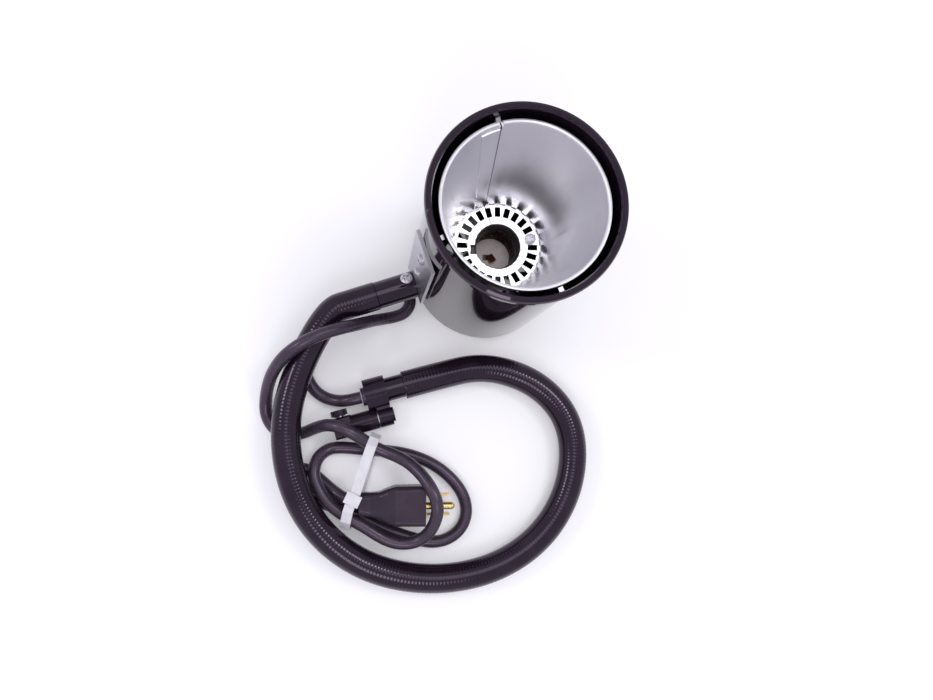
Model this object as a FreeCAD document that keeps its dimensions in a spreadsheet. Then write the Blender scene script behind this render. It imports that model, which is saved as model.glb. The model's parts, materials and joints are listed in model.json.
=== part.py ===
import FreeCAD, Part
import math
import os
import Sketcher
from FreeCAD import Placement, Rotation, Vector

# Flexible-arm examination lamp, in millimetres.
# The origin is on the lamp head's own axis, on the table that the head's back stands on.

DOC = FreeCAD.newDocument("FlexibleArmLamp")
SHEET = DOC.addObject("Spreadsheet::Sheet", "Sizes")

DRIVING_SIZES = [
    ("shade_radius", 50.0),
    ("shade_wall", 1.2),
    ("shade_height", 157.0),
    ("rim_radius", 52.4),
    ("rim_depth", 6.0),
    ("rim_round", 2.0),
    ("foot_inner", 40.0),
    ("foot_outer", 44.5),
    ("foot_rise", 3.0),
    ("corner_rise", 6.0),
    ("boss_radius", 8.0),
    ("vent_slot_half", 2.0),
    ("vent_slot_inner", 14.0),
    ("vent_slot_outer", 30.0),
    ("reflector_top", 151.6),
    ("reflector_mouth", 45.2),
    ("reflector_wall", 0.8),
    ("reflector_foot", 27.6),
    ("ring_level", 63.8),
    ("ring_gauge", 1.0),
    ("ring_radius", 26.4),
    ("ring_hole", 14.5),
    ("ring_slot_root", 19.0),
    ("ring_slot_half", 1.8),
    ("ring_slot_count", 24),
    ("socket_radius", 17.0),
    ("socket_base", 16.0),
    ("socket_mouth", 14.2),
    ("socket_bore", 13.7),
    ("socket_floor", 33.0),
    ("thread_pitch", 3.63),
    ("thread_crest", 13.4),
    ("thread_root", 12.6),
    ("thread_turns", 6),
    ("arm_level", 25.0),
    ("arm_turn", 199.0),
    ("plate_width", 26.0),
    ("plate_gauge", 2.2),
    ("plate_low", 20.0),
    ("plate_high", 112.0),
    ("ferrule_radius", 9.0),
    ("ferrule_bore", 6.0),
    ("ferrule_length", 26.5),
    ("nipple_radius", 5.0),
    ("nipple_bore", 3.6),
    ("sleeve_radius", 9.5),
    ("sleeve_bore", 8.4),
    ("hose_radius", 8.2),
    ("hose_bore", 5.8),
    ("cable_radius", 3.9),
    ("ball_radius", 9.9),
    ("dish_radius", 10.2),
    ("pivot_spacing", 9.0),
    ("cord_diameter", 8.2),
    ("elbow_radius", 10.4),
    ("elbow_gauge", 14.4),
    ("base_level", 10.8),
    ("base_ferrule_radius", 8.0),
    ("swivel_level", 8.0),
    ("swivel_offset", 16.8),
    ("barrel_radius", 6.9),
    ("barrel_length", 18.2),
    ("lobe_start", 5.1),
    ("lobe_length", 9.0),
    ("pin_radius", 3.0),
    ("pin_clearance", 0.05),
    ("clamp_width", 11.8),
    ("clamp_length", 14.2),
    ("clamp_depth", 9.6),
    ("post_radius", 4.0),
    ("screw_radius", 2.5),
    ("knob_radius", 5.5),
    ("knob_length", 4.2),
    ("knob_teeth", 24),
]


def fill_sheet():
    for row, (name, number) in enumerate(DRIVING_SIZES, start=1):
        SHEET.set("A%d" % row, name)
        SHEET.set("B%d" % row, str(number))
        SHEET.setAlias("B%d" % row, name)
    DOC.recompute()


fill_sheet()


def size(name):
    return float(SHEET.get(name))


NODES = {}

UP = Vector(0, 0, 1)
ALONG_X = Vector(1, 0, 0)
ALONG_Y = Vector(0, 1, 0)
WORLD = Placement()
# The arm frame's X runs from the head's axis out along the arm.
ARM = Placement(Vector(0, 0, size("arm_level")), Rotation(UP, size("arm_turn")))
# The base frame's X runs from the elbow's cord face towards the gooseneck, its Y away from the swivel.
BASE = Placement(Vector(-81.1, -90.9, size("base_level")), Rotation(UP, 15.6))


def bind(feature, **expressions):
    for prop, text in expressions.items():
        feature.setExpression(prop, text.replace("@", "Sizes."))
    return feature


def place(feature, frame, point=Vector(), axis=UP, spin=0.0):
    local = Placement(point, Rotation(UP, axis) * Rotation(UP, spin))
    feature.Placement = frame.multiply(local)
    return feature


def node(name, feature):
    feature.Label = name
    NODES[name] = feature
    return feature


def cylinder(name, radius, height, frame=WORLD, point=Vector(), axis=UP):
    feature = DOC.addObject("Part::Cylinder", name)
    bind(feature, Radius=radius, Height=height)
    return place(feature, frame, point, axis)


def box(name, sizes, frame=WORLD, point=Vector(), spin=0.0):
    feature = DOC.addObject("Part::Box", name)
    bind(feature, Length=sizes[0], Width=sizes[1], Height=sizes[2])
    return place(feature, frame, point, UP, spin)


def ball(name, radius, frame, point):
    feature = DOC.addObject("Part::Sphere", name)
    bind(feature, Radius=radius)
    return place(feature, frame, point)


def fuse(name, parts):
    feature = DOC.addObject("Part::MultiFuse", name)
    feature.Shapes = parts
    return feature


def cut(name, base, tools):
    feature = DOC.addObject("Part::Cut", name)
    feature.Base = base
    feature.Tool = tools[0] if len(tools) == 1 else fuse(name + "_cutter", tools)
    return feature


def group(name, parts):
    feature = DOC.addObject("Part::Compound", name)
    feature.Links = parts
    return feature


def shaped(name, shape, frame=WORLD):
    feature = DOC.addObject("Part::Feature", name)
    feature.Shape = shape
    feature.Placement = frame
    return feature


def body_plane(body, role):
    for feature in body.Origin.OriginFeatures:
        if feature.Role == role:
            return feature
    raise RuntimeError("no plane " + role)


def sketch_on(body, role, name):
    sketch = body.newObject("Sketcher::SketchObject", name)
    sketch.AttachmentSupport = [(body_plane(body, role), "")]
    sketch.MapMode = "FlatFace"
    return sketch


def bound_outline(sketch, outline):
    """Draw a closed outline of corners (x, y), each a sheet expression, with two size constraints a corner."""
    corners = [Vector(number(x), number(y), 0) for x, y in outline]
    count = len(corners)
    for i in range(count):
        sketch.addGeometry(Part.LineSegment(corners[i], corners[(i + 1) % count]), False)
    for i in range(count):
        sketch.addConstraint(Sketcher.Constraint("Coincident", i, 2, (i + 1) % count, 1))
    for i, (x, y) in enumerate(outline):
        for kind, text, value, axis in (("DistanceX", x, corners[i].x, -2), ("DistanceY", y, corners[i].y, -1)):
            if abs(value) < 1e-9:
                sketch.addConstraint(Sketcher.Constraint("PointOnObject", i, 1, axis))
                continue
            index = sketch.addConstraint(Sketcher.Constraint(kind, -1, 1, i, 1, value))
            sketch.setExpression("Constraints[%d]" % index, text.replace("@", "Sizes."))


def number(text):
    """Value of a sheet expression made of @names, numbers, + and -."""
    total = 0.0
    for term in text.replace(" - ", " + -").split(" + "):
        sign = -1.0 if term.startswith("-") else 1.0
        term = term.lstrip("-").strip()
        total += sign * (size(term[1:]) if term.startswith("@") else float(term))
    return total


def turned_body(name, outline):
    """A body turned about the head's axis from an outline of (radius, level) corners."""
    body = DOC.addObject("PartDesign::Body", name)
    sketch = sketch_on(body, "XZ_Plane", name + "_outline")
    bound_outline(sketch, outline)
    turn = body.newObject("PartDesign::Revolution", name + "_turn")
    turn.Profile = sketch
    turn.ReferenceAxis = (sketch, ["V_Axis"])
    turn.Angle = 360
    DOC.recompute()
    return body


def slot_pattern(body, inner, outer, half_width, count, reach):
    """Cut radial slots up through a turned body, all alike and evenly spaced."""
    sketch = sketch_on(body, "XY_Plane", body.Name + "_slot")
    low = "0 - " + half_width
    bound_outline(sketch, [(inner, low), (outer, low), (outer, half_width), (inner, half_width)])
    pocket = body.newObject("PartDesign::Pocket", body.Name + "_pocket")
    pocket.Profile = sketch
    pocket.Length = reach
    pocket.Reversed = True
    DOC.recompute()
    pattern = body.newObject("PartDesign::PolarPattern", body.Name + "_pattern")
    pattern.Originals = [pocket]
    pattern.Axis = (sketch, ["N_Axis"])
    pattern.Angle = 360
    bind(pattern, Occurrences=count)
    body.Tip = pattern
    DOC.recompute()
    return body


# Routes of round stock: straight runs joined by tangent arcs

ARC_SHARE = 0.45


def route_pieces(points):
    """Runs and arcs of a route, each as (length, function from a distance along it to point and direction)."""
    corners = [Vector(*point) for point in points]
    pieces = []
    radii = []
    start = corners[0]
    for i in range(1, len(corners) - 1):
        before = corners[i] - corners[i - 1]
        after = corners[i + 1] - corners[i]
        trim = ARC_SHARE * min(before.Length, after.Length)
        before.normalize()
        after.normalize()
        turn = before.getAngle(after)
        radius = trim / math.tan(turn / 2)
        radii.append(radius)
        enter = corners[i] - before * trim
        leave = corners[i] + after * trim
        side = (after - before * before.dot(after)).normalize()
        centre = enter + side * radius
        pieces.append(straight(start, enter))
        pieces.append(bend(centre, side * -radius, before, turn, radius, enter, leave))
        start = leave
    pieces.append(straight(start, corners[-1]))
    return pieces, radii


def straight(start, end):
    along = end - start
    length = along.Length
    along.normalize()
    return {"length": length, "edge": Part.LineSegment(start, end), "at": lambda s: (start + along * s, along)}


def bend(centre, arm, along, turn, radius, enter, leave):
    def at(s):
        angle = s / radius
        point = centre + arm * math.cos(angle) + along * (radius * math.sin(angle))
        direction = along * math.cos(angle) - arm * (math.sin(angle) / radius)
        return point, direction
    middle = at(radius * turn / 2)[0]
    return {"length": radius * turn, "edge": Part.Arc(enter, middle, leave), "at": at}


def route_length(pieces):
    return sum(piece["length"] for piece in pieces)


def route_at(pieces, distance):
    for piece in pieces:
        if distance <= piece["length"]:
            return piece["at"](distance)
        distance -= piece["length"]
    last = pieces[-1]
    return last["at"](last["length"] + distance)


def tube(pieces, radius):
    wire = Part.Wire([piece["edge"].toShape() for piece in pieces])
    start, along = route_at(pieces, 0)
    ring = Part.Wire([Part.makeCircle(radius, start, along)])
    solid = wire.makePipeShell([ring], True, False)
    expected = math.pi * radius ** 2 * route_length(pieces)
    if abs(solid.Volume / expected - 1) > 0.01:
        raise RuntimeError("tube volume %.0f, expected %.0f" % (solid.Volume, expected))
    return solid


def report_route(name, pieces, radii, diameter):
    samples = []
    distance = 0.0
    total = route_length(pieces)
    while distance < total:
        samples.append((distance, route_at(pieces, distance)[0]))
        distance += 2.0
    gap = 1e9
    for i, (first, point) in enumerate(samples):
        for second, other in samples[i + 1:]:
            if second - first > 3.2 * diameter:
                gap = min(gap, point.distanceToPoint(other) - diameter)
    lowest = min(point.z for _distance, point in samples) - diameter / 2
    print("%s: length %.0f, tightest radius %.1f, least gap to itself %.2f, lowest %.2f"
          % (name, total, min(radii), gap, lowest))


# Screws

def pan_screw(name, frame, point, axis, head_radius, head_height, shank_radius, shank_length, spin=0.0):
    """A pan-head screw with a cross recess; point is the seat under the head and axis points out of it."""
    head = Part.makeCylinder(head_radius, head_height * 0.55)
    dome = Part.makeCone(head_radius, head_radius * 0.62, head_height * 0.45, Vector(0, 0, head_height * 0.55))
    shank = Part.makeCylinder(shank_radius, shank_length, Vector(0, 0, -shank_length))
    wing = head_radius * 0.62
    blade = head_radius * 0.16
    depth = head_height * 0.5
    recess = []
    for turn in (0, 90):
        bar = Part.makeBox(2 * wing, 2 * blade, depth + 1, Vector(-wing, -blade, head_height - depth))
        bar.rotate(Vector(), UP, turn + spin)
        recess.append(bar)
    solid = head.fuse([dome, shank]).removeSplitter().cut(recess[0].fuse(recess[1]))
    feature = shaped(name, solid)
    return place(feature, frame, point, axis)


# Head: shell, reflector, slotted ring and lampholder

def make_shade():
    wall = "@shade_radius - @shade_wall"
    outline = [
        ("0", "0"), ("@boss_radius", "0"), ("@boss_radius + 1.6", "@foot_rise"),
        ("@foot_inner - 2", "@foot_rise"), ("@foot_inner", "0"),
        ("@foot_outer", "0"), ("@foot_outer + 2.2", "0.6"), ("@foot_outer + 4.2", "2.2"),
        ("@foot_outer + 5.2", "4"), ("@shade_radius", "@corner_rise + 0.6"),
        ("@shade_radius", "@shade_height - @rim_depth"), ("@rim_radius", "@shade_height - @rim_depth + 1.2"),
        ("@rim_radius", "@shade_height - @rim_round"), ("@rim_radius - 0.6", "@shade_height - 0.6"),
        ("@rim_radius - 2", "@shade_height"), ("@rim_radius - 3.4", "@shade_height - 0.6"),
        ("@rim_radius - 4", "@shade_height - @rim_round"), ("@rim_radius - 4", "@shade_height - @rim_depth"),
        (wall, "@shade_height - @rim_depth - 1"), (wall, "@corner_rise + 1"),
        (wall + " - 3", "2.6"), ("@foot_outer - 0.6", "@shade_wall"),
        ("@foot_inner + 0.8", "@shade_wall"), ("@foot_inner - 1.2", "@foot_rise + @shade_wall"),
        ("@boss_radius + 1", "@foot_rise + @shade_wall"), ("@boss_radius - 0.6", "@shade_wall"),
        ("0", "@shade_wall"),
    ]
    body = turned_body("shade_can", outline)
    slot_pattern(body, "@vent_slot_inner", "@vent_slot_outer", "@vent_slot_half", "12", 8.0)
    holes = [cylinder("nipple_way", "@nipple_radius + 0.1", "20", ARM, Vector(40, 0, 0), ALONG_X)]
    for level in (60.0, 95.0):
        point = Vector(40, 0, level - size("arm_level"))
        holes.append(cylinder("plate_screw_way", "1.6", "20", ARM, point, ALONG_X))
    for foot in (0, 1):
        angle = math.radians(106 + 180 * foot)
        point = Vector(35 * math.cos(angle), 35 * math.sin(angle), 0)
        holes.append(cylinder("foot_screw_way", "1.6", "8", WORLD, point))
    node("shade_shell", cut("shade_shell", body, holes))


def make_reflector():
    outline = [
        ("@reflector_foot", "@ring_level - 1.2"), ("@reflector_mouth - 1.6", "@reflector_top - 2.6"),
        ("@reflector_mouth - 0.4", "@reflector_top - 2.2"), ("@reflector_mouth", "@reflector_top - 1.1"),
        ("@reflector_mouth - 0.4", "@reflector_top - 0.2"), ("@reflector_mouth - 1.2", "@reflector_top"),
        ("@reflector_mouth - 2", "@reflector_top - 0.4"), ("@reflector_mouth - 2.4", "@reflector_top - 1.4"),
        ("@reflector_foot - @reflector_wall", "@ring_level - 0.2"),
        ("@ring_radius - 0.9", "@ring_level - 0.2"), ("@ring_radius - 0.9", "@ring_level - 1.2"),
    ]
    body = turned_body("reflector_cone", outline)
    foot = Vector(size("reflector_foot") - size("reflector_wall"), 0, size("ring_level") - 0.2)
    mouth = Vector(size("reflector_mouth") - 2.4, 0, size("reflector_top") - 1.4)
    low = foot + (mouth - foot) * 0.03
    high = foot + (mouth - foot) * 0.965
    gauge = Vector(0.5, 0, 0)
    embed = Vector(0.3, 0, 0)
    lap = Part.makePolygon([low - gauge, high - gauge, high + embed, low + embed, low - gauge])
    feature = shaped("reflector_lap", Part.Face(lap).revolve(Vector(), UP, 15))
    place(feature, WORLD, Vector(), UP, 107)
    notch = box("reflector_notch", ("5", "2.2", "4"), WORLD)
    notch.Placement = Placement(Vector(), Rotation(UP, 107)).multiply(
        Placement(Vector(mouth.x - 0.6, -1.1, mouth.z - 0.8), Rotation()))
    node("reflector", cut("reflector", fuse("reflector_with_lap", [body, feature]), [notch]))


def make_clips():
    """Three small spring clips hold the reflector's rolled mouth off the shell."""
    inner = size("reflector_mouth") + 0.1
    outer = size("shade_radius") - size("shade_wall") - 0.3
    level = size("reflector_top") - 3.0
    parts = []
    for angle in (107, 203, 293):
        back = Part.makeBox(0.7, 2.6, 12, Vector(outer - 0.7, -1.3, level - 12))
        bridge = Part.makeBox(outer - inner, 2.6, 0.7, Vector(inner, -1.3, level - 1.8))
        clip = back.fuse(bridge).removeSplitter()
        feature = shaped("reflector_clip", clip)
        parts.append(place(feature, WORLD, Vector(), UP, angle))
    node("reflector_clips", group("reflector_clips", parts))


def make_vent_ring():
    outline = [
        ("@ring_hole", "@ring_level"), ("@ring_radius", "@ring_level"),
        ("@ring_radius", "@ring_level + @ring_gauge"), ("@ring_hole", "@ring_level + @ring_gauge"),
    ]
    body = turned_body("ring_disc", outline)
    slot_pattern(body, "@ring_slot_root", "@ring_radius + 1", "@ring_slot_half", "@ring_slot_count", 90.0)
    level = size("ring_level")
    notch = box("ring_notch", ("5", "6", "4"), WORLD, Vector(-17.2, -5.5, level - 1))
    pad = cylinder("ring_pad", "3.7", "@ring_gauge", WORLD, ear_point(level))
    hole = cylinder("ring_screw_way", "1.8", "6", WORLD, ear_point(level - 2))
    node("vent_ring", cut("vent_ring", fuse("ring_with_pad", [body, pad]), [notch, hole]))
    screw = pan_screw("vent_ring_screw", WORLD, ear_point(level + size("ring_gauge")), UP, 3.4, 2.0, 1.7, 9.0, 20)
    node("vent_ring_screw", screw)


def ear_point(level):
    angle = math.radians(14.7)
    return Vector(21.2 * math.cos(angle), 21.2 * math.sin(angle), level)


def make_socket():
    level = size("ring_level")
    case = cylinder("socket_case", "@socket_radius", "@ring_level - @socket_base", WORLD,
                    Vector(0, 0, size("socket_base")))
    ear = cylinder("socket_ear", "3.1", "9", WORLD, ear_point(level - 9))
    web = box("socket_web", ("8", "6.2", "9"), WORLD, Vector(), 14.7)
    web.Placement = Placement(Vector(), Rotation(UP, 14.7)).multiply(
        Placement(Vector(13.2, -3.1, level - 9), Rotation()))
    bore = cylinder("socket_way", "@socket_bore", "40", WORLD, Vector(0, 0, size("socket_floor")))
    mouth = cylinder("socket_lip", "@socket_mouth", "9", WORLD, Vector(0, 0, level - 6.5))
    screw = cylinder("ear_way", "1.7", "12", WORLD, ear_point(level - 10))
    lead = [cylinder("lead_way", "1.5", "12", WORLD, Vector(x, 0, size("socket_base") - 1)) for x in (-13.5, 13.5)]
    base = [cylinder("base_screw_way", "1.6", "10", WORLD, Vector(0, 0, size("socket_base") - 1))]
    notch = box("socket_notch", ("5", "6", "3"), WORLD, Vector(-17.2, -5.5, level - 2.5))
    solid = fuse("socket_blank", [case, ear, web])
    node("socket_body", cut("socket_body", solid, [bore, mouth, screw, notch] + lead + base))
    make_screw_shell()
    disc = cylinder("insulator_disc", "@socket_bore - 0.1", "1.8", WORLD, Vector(0, 0, size("socket_floor")))
    way = box("insulator_way", ("6", "4", "6"), WORLD, Vector(-5.0, -2.0, size("socket_floor") - 1))
    node("socket_insulator", cut("socket_insulator", disc, [way]))
    make_contact()


def make_screw_shell():
    """The lamp's thread, as rounded rings at the thread's pitch."""
    crest = size("thread_crest")
    root = size("thread_root")
    pitch = size("thread_pitch")
    gauge = 0.3
    level = size("socket_floor") + 2.2
    wires = []
    for offset in (0.0, -gauge):
        edges = []
        for turn in range(int(size("thread_turns"))):
            low = level + turn * pitch
            for side, start in ((1, low), (-1, low + pitch / 2)):
                middle = (crest + root) / 2
                swell = middle + side * (crest - root) / 2
                first = Vector(middle + offset, 0, start)
                last = Vector(middle + offset, 0, start + pitch / 2)
                edges.append(Part.Arc(first, Vector(swell + offset, 0, start + pitch / 4), last).toShape())
        wires.append(edges)
    top = Part.LineSegment(wires[0][-1].Vertexes[-1].Point, wires[1][-1].Vertexes[-1].Point).toShape()
    bottom = Part.LineSegment(wires[1][0].Vertexes[0].Point, wires[0][0].Vertexes[0].Point).toShape()
    outline = Part.Wire(Part.__sortEdges__(wires[0] + [top] + wires[1] + [bottom]))
    shell = Part.Face(outline).revolve(Vector(), UP, 360)
    node("socket_screw_shell", shaped("socket_screw_shell", shell))


def make_contact():
    """The centre contact: a bent copper tongue that springs up from the insulator."""
    floor = size("socket_floor") + 1.9
    side = [(-2.0, 0.0), (3.0, 0.0), (3.0, 0.5), (-0.5, 0.5), (3.6, 3.6), (3.2, 4.0), (-2.0, 0.5)]
    points = [Vector(x, -2.2, floor + z) for x, z in side]
    face = Part.Face(Part.makePolygon(points + [points[0]]))
    feature = shaped("socket_centre_contact", face.extrude(Vector(0, 4.4, 0)))
    place(feature, WORLD, Vector(), UP, -65)
    node("socket_centre_contact", feature)


def make_socket_bracket():
    """A hat-shaped strap carries the lampholder on the shell's back."""
    floor = size("foot_rise") + size("shade_wall")
    top = size("socket_base")
    gauge = 1.4
    width = 12.0
    leg = 20.0
    foot = 38.0
    side = [(-foot, floor), (-leg, floor), (-leg, top - gauge), (leg, top - gauge), (leg, floor), (foot, floor),
            (foot, floor + gauge), (leg + gauge, floor + gauge), (leg + gauge, top), (-leg - gauge, top),
            (-leg - gauge, floor + gauge), (-foot, floor + gauge)]
    points = [Vector(x, -width / 2, z) for x, z in side]
    strap = Part.Face(Part.makePolygon(points + [points[0]])).extrude(Vector(0, width, 0))
    for x, level in ((-35, floor), (35, floor), (0, top - gauge)):
        strap = strap.cut(Part.makeCylinder(1.65, 4, Vector(x, 0, level - 1)))
    feature = shaped("socket_bracket", strap)
    place(feature, WORLD, Vector(), UP, 106)
    node("socket_bracket", feature)
    screws = []
    for foot_index in (0, 1):
        angle = math.radians(106 + 180 * foot_index)
        point = Vector(35 * math.cos(angle), 35 * math.sin(angle), size("foot_rise"))
        screws.append(pan_screw("foot_screw", WORLD, point, Vector(0, 0, -1), 2.9, 1.8, 1.5, 5.0))
    node("bracket_foot_screws", group("bracket_foot_screws", screws))
    base = Vector(0, 0, top - gauge)
    node("socket_base_screw", pan_screw("socket_base_screw", WORLD, base, Vector(0, 0, -1), 2.9, 1.8, 1.5, 8.0))


# Arm joint on the head

def plate_face():
    return size("shade_radius") + 0.05 + size("plate_gauge")


def pivot_near():
    """Distance from the head's axis to the head's own bend."""
    rim = math.sqrt(size("dish_radius") ** 2 - size("ferrule_radius") ** 2)
    return plate_face() + size("ferrule_length") + rim


def pivot_far():
    return pivot_near() + size("pivot_spacing")


def make_arm_bracket():
    level = size("arm_level")
    plate = box("bracket_blank", ("@plate_gauge", "@plate_width", "@plate_high - @plate_low"), ARM,
                Vector(size("shade_radius") + 0.05, -size("plate_width") / 2, size("plate_low") - level))
    ways = [cylinder("bracket_nipple_way", "@nipple_radius + 0.1", "20", ARM, Vector(40, 0, 0), ALONG_X)]
    screws = []
    for height in (60.0, 95.0):
        point = Vector(40, 0, height - level)
        ways.append(cylinder("bracket_screw_way", "1.7", "20", ARM, point, ALONG_X))
        seat = Vector(plate_face(), 0, height - level)
        screws.append(pan_screw("bracket_screw", ARM, seat, ALONG_X, 3.4, 2.0, 1.55, 8.0, height))
    node("arm_bracket_plate", cut("arm_bracket_plate", plate, ways))
    node("bracket_screws", group("bracket_screws", screws))


def make_ferrule():
    start = plate_face()
    tube_end = size("ferrule_length") + 6
    blank = cylinder("ferrule_blank", "@ferrule_radius", str(tube_end), ARM, Vector(start, 0, 0), ALONG_X)
    way = cylinder("ferrule_way", "@ferrule_bore", "60", ARM, Vector(start - 5, 0, 0), ALONG_X)
    dish = ball("ferrule_dish", "@dish_radius", ARM, Vector(pivot_near(), 0, 0))
    tilt = math.radians(22)
    out = Vector(0, -math.sin(tilt), math.cos(tilt))
    seat = Vector(57.2, 0, 0) + out * (size("ferrule_radius") - 0.5)
    spot = cylinder("ferrule_spot", "4.1", "4", ARM, seat, out)
    hole = cylinder("ferrule_screw_way", "1.75", "6", ARM, seat - out * 5, out)
    node("head_ferrule", cut("head_ferrule", blank, [way, dish, spot, hole]))
    node("ferrule_screw", pan_screw("ferrule_screw", ARM, seat, out, 4.0, 2.4, 1.7, 2.3, 30))


def make_nipple():
    face = plate_face()
    thread = cylinder("nipple_thread", "@nipple_radius", str(face - 43.0), ARM, Vector(43.0, 0, 0), ALONG_X)
    collar = cylinder("nipple_collar", "@ferrule_bore - 0.05", "9", ARM, Vector(face, 0, 0), ALONG_X)
    way = cylinder("nipple_bore_way", "@nipple_bore", "40", ARM, Vector(35, 0, 0), ALONG_X)
    node("head_nipple", cut("head_nipple", fuse("nipple_blank", [thread, collar]), [way]))
    nut = DOC.addObject("Part::Prism", "nut_blank")
    nut.Polygon = 6
    bind(nut, Circumradius="7.6", Height="3")
    place(nut, ARM, Vector(44.6, 0, 0), ALONG_X)
    hole = cylinder("nut_way", "@nipple_radius + 0.02", "9", ARM, Vector(42, 0, 0), ALONG_X)
    node("nipple_locknut", cut("nipple_locknut", nut, [hole]))


LEAD_LIVE = [(-52, -17, 25.8), (-36, -11.5, 25.8), (-28, -6, 21), (-24, 0, 13), (-17, 3, 9.6), (-13.5, 0, 11.2),
             (-13.5, 0, 20)]
LEAD_NEUTRAL = [(-51, -18.4, 24.2), (-36, -14, 24.2), (-27, -17, 19), (-18, -20, 10.5), (-5, -19, 8.6),
                (7, -12, 9.0), (12.6, -5, 9.2), (13.5, 0, 12), (13.5, 0, 20)]


def make_leads():
    """Two insulated leads run from the arm through the nipple to the lampholder's back."""
    leads = []
    for name, points in (("lead_live", LEAD_LIVE), ("lead_neutral", LEAD_NEUTRAL)):
        pieces, _radii = route_pieces(points)
        leads.append(shaped(name, tube(pieces, 1.2)))
    node("socket_leads", group("socket_leads", leads))


# Gooseneck: a vinyl sleeve over a steel hose, and its short flexing end

def arm_point(distance):
    point = ARM.multVec(Vector(distance, 0, 0))
    return (point.x, point.y, point.z)


NECK_ROUTE = [
    (-55.2, -83.7, 10.8), (-37, -78.6, 10.8), (-2, -69.5, 9.9), (32, -78.5, 9.8), (55, -99, 9.8),
    (63, -126, 9.8), (57, -159, 9.8), (37, -188, 9.8), (5, -207, 9.8), (-35, -213, 9.8),
    (-75, -205, 11.5), (-106, -184, 15.5), (-126, -153, 19.2), (-133, -113, 20.5), (-125, -74, 21.5),
]


def neck_pieces(extra=0.0):
    corner = arm_point(pivot_far() + 18.5)
    return route_pieces(NECK_ROUTE + [corner, arm_point(pivot_far() - extra)])


def make_gooseneck():
    pieces, radii = neck_pieces()
    report_route("gooseneck", pieces, radii, 2 * size("sleeve_radius"))
    dish = Part.makeSphere(size("dish_radius"), Vector(*arm_point(pivot_far())))
    sleeve = tube(pieces, size("sleeve_radius")).cut(tube(pieces, size("sleeve_bore"))).cut(dish)
    node("gooseneck_sleeve", shaped("gooseneck_sleeve", sleeve.Solids[0]))
    hose = tube(pieces, size("hose_radius")).cut(tube(pieces, size("hose_bore"))).cut(dish)
    node("gooseneck_hose", shaped("gooseneck_hose", hose.Solids[0]))
    cable = tube(pieces, size("cable_radius")).cut(dish)
    node("arm_cable", shaped("arm_cable", cable.Solids[0]))


def make_neck_link():
    near = Vector(pivot_near(), 0, 0)
    far = Vector(pivot_far(), 0, 0)
    parts = [
        ball("link_near_ball", "@ball_radius", ARM, near), ball("link_far_ball", "@ball_radius", ARM, far),
        cylinder("link_barrel", "@sleeve_radius", "@pivot_spacing", ARM, near, ALONG_X),
    ]
    way = cylinder("link_way", "@hose_bore + 0.5", "60", ARM, Vector(pivot_near() - 25, 0, 0), ALONG_X)
    node("neck_link_sleeve", cut("neck_link_sleeve", fuse("link_blank", parts), [way]))
    core = cylinder("link_core", "@hose_bore + 0.45", "@pivot_spacing - 2", ARM, near + Vector(1, 0, 0), ALONG_X)
    hole = cylinder("link_core_way", "@cable_radius + 0.2", "60", ARM, Vector(pivot_near() - 25, 0, 0), ALONG_X)
    node("neck_link_hose", cut("neck_link_hose", core, [hole]))


# Base fitting: ferrule, elbow, cord bushing, swivel and post clamp

def make_base():
    drop = size("swivel_level") - size("base_level")
    swivel = Vector(0, -size("swivel_offset"), drop)
    ferrule = cylinder("base_ferrule_blank", "@base_ferrule_radius", "13.6", BASE,
                       Vector(size("elbow_gauge") - 1.6, 0, 0), ALONG_X)
    spigot = cylinder("base_spigot", "@hose_bore - 0.05", "9", BASE, Vector(26.3, 0, 0), ALONG_X)
    way = cylinder("base_ferrule_way", "@cable_radius + 0.3", "60", BASE, Vector(-5, 0, 0), ALONG_X)
    node("base_ferrule", cut("base_ferrule", fuse("base_ferrule_stem", [ferrule, spigot]), [way]))
    make_elbow(swivel)
    flange = cylinder("bushing_flange", "6.2", "2.4", BASE, Vector(-2.4, -0.5, 0), ALONG_X)
    neck = cylinder("bushing_neck", "5.0", "6", BASE, Vector(0, -0.5, 0), ALONG_X)
    hole = cylinder("bushing_way", "@cord_diameter / 2", "60", BASE, Vector(-20, -0.5, 0), ALONG_X)
    node("cord_bushing", cut("cord_bushing", fuse("bushing_blank", [flange, neck]), [hole]))
    make_swivel(swivel)


def make_elbow(swivel):
    gauge = size("elbow_gauge")
    hub = cylinder("elbow_hub", "@elbow_radius", "@elbow_gauge", BASE, Vector(), ALONG_X)
    lobe = cylinder("elbow_lobe", "@barrel_radius", "@lobe_length", BASE,
                    swivel + Vector(size("lobe_start"), 0, 0), ALONG_X)
    hub_z = size("elbow_radius")
    web = Part.Face(Part.makePolygon([
        Vector(0, 0, hub_z), Vector(0, -9.2, hub_z - 1.6), Vector(0, -9.2, 1 - hub_z), Vector(0, 0, -hub_z),
        Vector(0, 0, hub_z)])).extrude(Vector(gauge, 0, 0))
    neck = Part.makeBox(size("lobe_length"), 12, 9.6, Vector(size("lobe_start"), swivel.y, swivel.z - 4.8))
    web = shaped("elbow_web", web.fuse(neck), BASE)
    seat = cylinder("elbow_seat", "@base_ferrule_radius", "10", BASE, Vector(gauge - 1.6, 0, 0), ALONG_X)
    way = cylinder("elbow_cable_way", "5.05", "6.1", BASE, Vector(-0.1, -0.5, 0), ALONG_X)
    cord = cylinder("elbow_cord_way", "@cable_radius + 0.4", "30", BASE, Vector(-1, -0.5, 0), ALONG_X)
    pin = cylinder("elbow_pin_way", "@pin_radius", "40", BASE, swivel + Vector(-10, 0, 0), ALONG_X)
    clear = cylinder("elbow_barrel_way", "@barrel_radius + 0.4", "5.1", BASE, swivel, ALONG_X)
    solid = fuse("elbow_blank", [hub, lobe, web])
    node("elbow_body", cut("elbow_body", solid, [seat, way, cord, pin, clear]))


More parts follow.
